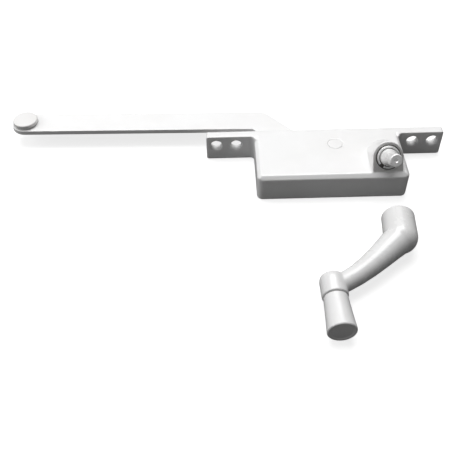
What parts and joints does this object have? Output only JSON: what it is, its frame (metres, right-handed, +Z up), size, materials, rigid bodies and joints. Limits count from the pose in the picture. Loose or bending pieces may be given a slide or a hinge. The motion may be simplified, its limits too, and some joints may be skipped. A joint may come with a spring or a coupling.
{
  "type": "casement window operator with crank handle",
  "caption": "Rotary window operator with a flat steel arm and guide button, a splined worm spindle, screw flanges and a loose crank handle with a turning knob.",
  "frame": {"origin": "centre of the row of four screw holes, on the flat back face of the flanges", "axes": "+X along the flanges to the spindle's end, +Y out through the wall to the arm's side, +Z up from the base plate to the enamelled top"},
  "size_m": [0.3144, 0.2003, 0.0441],
  "materials": {
    "white_enamel": "satin white enamel on a die casting",
    "white_arm": "satin white enamel on steel strip",
    "enamelled_rivet": "satin white enamel over a flush rivet head",
    "white_handle": "satin white enamel on a die casting",
    "white_knob": "satin white enamel on a die casting",
    "white_button": "smooth white acetal",
    "nylon": "natural nylon",
    "spindle_steel": "machined steel, satin",
    "bright_steel": "bright plated spring steel",
    "zinc_steel": "zinc plated steel",
    "dark_steel": "oiled hardened steel",
    "bronze": "sintered bearing bronze"
  },
  "bodies": {
    "housing": {"housing": "white_enamel", "base_plate": "zinc_steel", "base_screws": "zinc_steel", "pivot_rivet": "enamelled_rivet", "upper_thrust_washer": "nylon", "lower_thrust_washer": "nylon", "lower_spacer": "zinc_steel", "spindle_bush": "bronze", "tail_bush": "bronze", "boss_washer": "bright_steel"},
    "arm": {"arm": "white_arm", "sector_gear": "dark_steel", "gear_rivets": "zinc_steel", "arm_bush": "bronze", "button_stud": "zinc_steel"},
    "guide_button": {"guide_button": "white_button"},
    "spindle": {"worm_shaft": "spindle_steel", "worm_washer": "bright_steel", "retaining_ring": "bright_steel"},
    "crank_handle": {"crank_arm": "white_handle", "set_screw": "dark_steel", "knob_stud": "zinc_steel", "knob_washer": "bright_steel"},
    "crank_knob": {"crank_knob": "white_knob"}
  },
  "joints": [
    {"name": "arm_swing", "type": "hinge", "parent": "housing", "child": "arm", "pos_m": [0.0058, -0.0161, 0], "axis": [0, 0, -1], "range_deg": [0, 92]},
    {"name": "button_spin", "type": "hinge", "parent": "arm", "child": "guide_button", "pos_m": [-0.21939, 0.02323, 0.0042], "axis": [0, 0, 1], "continuous": true},
    {"name": "spindle_turn", "type": "hinge", "parent": "housing", "child": "spindle", "pos_m": [0.0371, -0.04151, 0.01656], "axis": [0, -0.8192, 0.5736], "range_deg": [0, 3312]},
    {"name": "crank_lift", "type": "slide", "parent": "housing", "child": "crank_handle", "axis": [0, 0, 1], "range_m": [0, 0.06]},
    {"name": "knob_spin", "type": "hinge", "parent": "crank_handle", "child": "crank_knob", "pos_m": [-0.00975, -0.13466, -0.0031], "axis": [0.0262, -0.9997, 0], "continuous": true}
  ],
  "couplings": [
    {"joint": "spindle_turn", "follows": "arm_swing", "ratio": 36}
  ]
}
